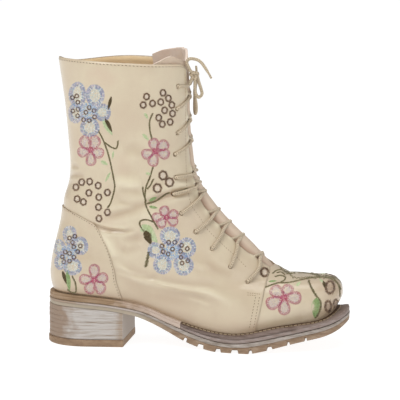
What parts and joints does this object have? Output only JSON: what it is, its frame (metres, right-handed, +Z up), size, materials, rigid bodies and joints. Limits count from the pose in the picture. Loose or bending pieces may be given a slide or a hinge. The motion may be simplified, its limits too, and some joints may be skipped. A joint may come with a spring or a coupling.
{
  "type": "lace-up boot",
  "caption": "Ankle-high lace-up boot for the right foot with a hollow leather upper, wide tongue, criss-cross lacing, welted lug sole and stacked block heel.",
  "frame": {"origin": "on the floor, under the middle of the boot's outline in length and width", "axes": "+X from heel to toe, +Y to the inner (medial) side of this right boot, +Z up"},
  "size_m": [0.2796, 0.0964, 0.2739],
  "materials": {
    "cream_leather": "smooth aniline leather with a soft sheen and coloured embroidery",
    "tongue_leather": "matt lining-side leather",
    "insole_leather": "matt",
    "welt_leather": "matt, waxed grey-brown",
    "whitewashed_leather": "stacked lifts brushed with a chalky whitewash",
    "brown_rubber": "matt moulded rubber",
    "cotton_lace": "braided waxed cotton"
  },
  "bodies": {
    "root": {"upper": "cream_leather", "heel_counter": "cream_leather", "tongue": "tongue_leather", "insole": "insole_leather", "welt": "welt_leather", "seat_rand": "whitewashed_leather", "heel_stack": "whitewashed_leather", "outsole": "brown_rubber", "top_lift": "brown_rubber", "lace_cross_01": "cotton_lace", "lace_cross_02": "cotton_lace", "lace_cross_03": "cotton_lace", "lace_cross_04": "cotton_lace", "lace_cross_05": "cotton_lace", "lace_cross_06": "cotton_lace", "lace_cross_07": "cotton_lace", "lace_cross_08": "cotton_lace", "lace_cross_09": "cotton_lace", "lace_cross_10": "cotton_lace", "lace_top_lateral": "cotton_lace", "lace_top_medial": "cotton_lace", "lace_knot": "cotton_lace", "lace_long_end": "cotton_lace", "lace_short_end": "cotton_lace", "lace_near_loop": "cotton_lace", "lace_far_loop": "cotton_lace"}
  },
  "joints": []
}
